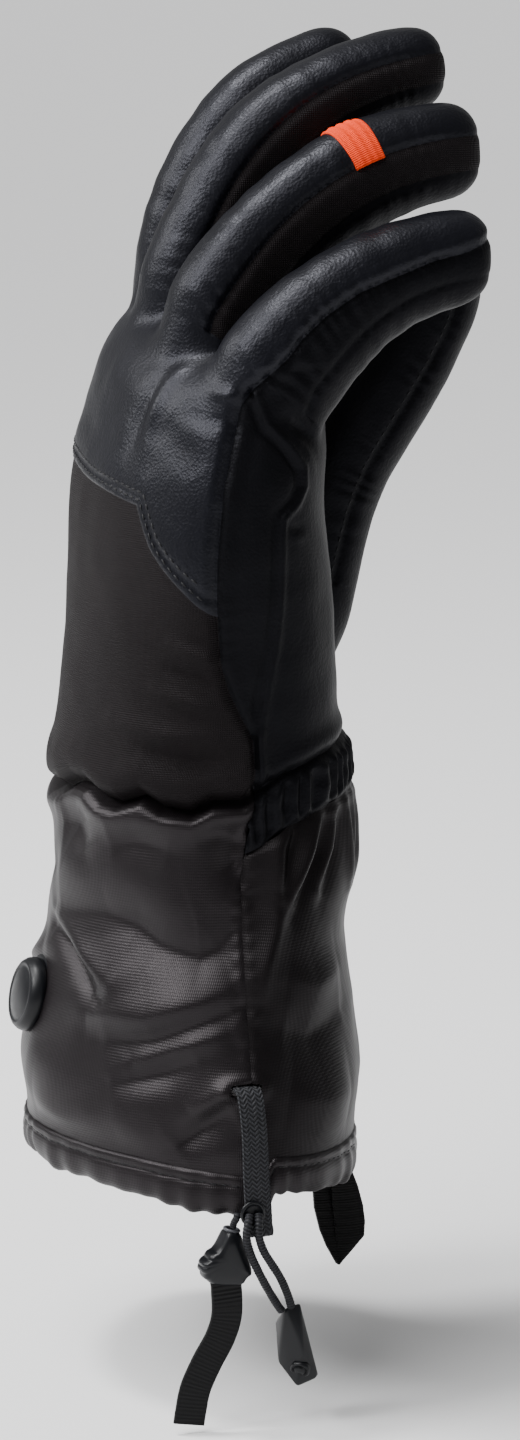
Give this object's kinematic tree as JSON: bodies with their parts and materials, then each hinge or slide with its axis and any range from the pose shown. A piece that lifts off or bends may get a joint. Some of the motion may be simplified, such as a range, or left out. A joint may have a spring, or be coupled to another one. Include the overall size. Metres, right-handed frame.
{
  "type": "heated glove",
  "caption": "Padded right-hand winter glove with curled fingers, a long gathered gauntlet cuff, a soft switch button, a drawcord with a lock, and a hanging loop.",
  "frame": {"origin": "middle of the cuff's mouth, level with the hem", "axes": "+Z to the fingertips, +X to the little finger, -X to the thumb, -Y to the back of the hand, +Y to the palm"},
  "size_m": [0.1442, 0.1569, 0.3844],
  "materials": {
    "leather": "satin, fine grain",
    "stretch_fabric": "matt",
    "cuff_shell": "smooth woven sheen",
    "webbing": "matt knit",
    "orange_elastic": "matt ribbed",
    "soft_rubber": "satin",
    "satin_plastic": "satin"
  },
  "bodies": {
    "root": {"little_back": "leather", "ring_back": "leather", "middle_back": "leather", "index_back": "leather", "little_front": "leather", "ring_front": "leather", "middle_front": "leather", "index_front": "leather", "little_fourchette": "leather", "back_yoke": "leather", "palm_panel": "leather", "side_gusset": "leather", "thumb_back": "leather", "thumb_front": "leather", "ring_fourchette": "stretch_fabric", "middle_fourchette": "stretch_fabric", "index_fourchette": "stretch_fabric", "back_panel": "stretch_fabric", "cuff_back": "cuff_shell", "cuff_front": "cuff_shell", "cuff_hem": "cuff_shell", "wrist_elastic": "webbing", "elastic_loop": "webbing", "pull_tab": "webbing", "drawcord_a": "webbing", "drawcord_b": "webbing", "lock_link": "webbing", "hanging_loop": "webbing", "finger_band": "orange_elastic", "button_base": "soft_rubber", "heat_button": "soft_rubber", "eyelet": "satin_plastic", "cord_lock": "satin_plastic", "cord_end": "satin_plastic"}
  },
  "joints": []
}
